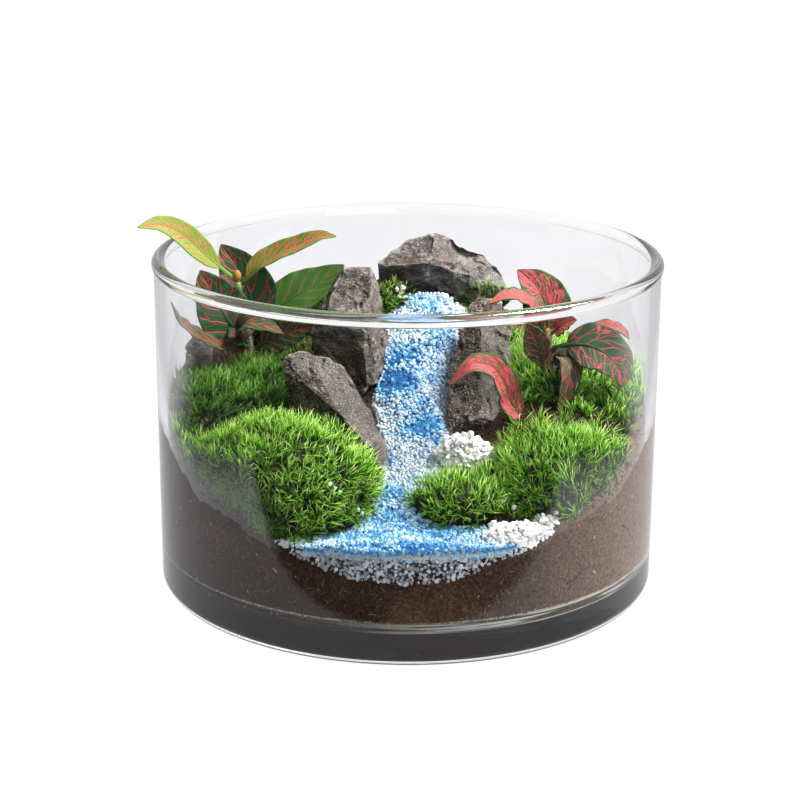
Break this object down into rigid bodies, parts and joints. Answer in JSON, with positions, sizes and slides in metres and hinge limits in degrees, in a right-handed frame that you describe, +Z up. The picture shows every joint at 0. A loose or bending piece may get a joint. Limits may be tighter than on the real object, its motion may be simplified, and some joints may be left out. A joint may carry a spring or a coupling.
{
  "type": "glass plant terrarium",
  "caption": "Straight-sided glass bowl planted as a little valley, with soil, rocks, moss cushions, nerve plants and a stream of white and blue sand.",
  "frame": {"origin": "centre of the bowl's flat foot, on the surface that it stands on", "axes": "+Z up, +X to the right and -Y towards the viewer, where the sand pool lies against the glass"},
  "size_m": [0.1559, 0.1512, 0.1109],
  "materials": {
    "glass": "clear pressed soda-lime glass, fire-polished rim",
    "soil": "fine moist potting soil",
    "white_sand": "loose translucent white quartz grains",
    "blue_sand": "fine dyed blue sand",
    "white_gravel": "coarse opaque white marble grit",
    "rock": "broken grey limestone with pale flecks",
    "pale_stone": "pale pitted stone",
    "moss": "living cushion moss",
    "green_stem": "soft downy green stem",
    "red_stem": "soft downy red-brown stem",
    "lime_leaf": "young lime-green leaf with red net veins",
    "green_leaf": "dark green leaf with red net veins",
    "pink_leaf": "dark green leaf with broad pink net veins"
  },
  "bodies": {
    "root": {"glass_bowl": "glass", "soil": "soil", "white_sand_bed": "white_sand", "blue_sand_run": "blue_sand", "blue_sand_pool": "blue_sand", "white_gravel_pile": "white_gravel", "white_gravel_shore": "white_gravel", "rock_back": "rock", "rock_left_tall": "rock", "rock_left_front": "rock", "rock_right": "rock", "stone_left_small": "pale_stone", "moss_front_left": "moss", "moss_front_right": "moss", "moss_back_left": "moss", "moss_back_right": "moss", "moss_back": "moss", "moss_tuft_left": "moss", "moss_tuft_right": "moss", "stem_left": "green_stem", "leaf_left_long_over_rim": "lime_leaf", "leaf_left_long_inward": "lime_leaf", "leaf_left_upright_back": "green_leaf", "leaf_left_broad_left": "green_leaf", "leaf_left_broad_right": "green_leaf", "leaf_left_low_along_glass": "green_leaf", "leaf_left_small_centre": "green_leaf", "leaf_left_low_right": "green_leaf", "stem_right": "red_stem", "leaf_right_top_crown": "pink_leaf", "leaf_right_top_left": "pink_leaf", "leaf_right_top_right": "pink_leaf", "leaf_right_dark_left": "pink_leaf", "leaf_right_big_right": "pink_leaf", "leaf_right_behind_right": "pink_leaf", "leaf_right_drooping": "pink_leaf", "leaf_right_arching_left": "pink_leaf"}
  },
  "joints": []
}
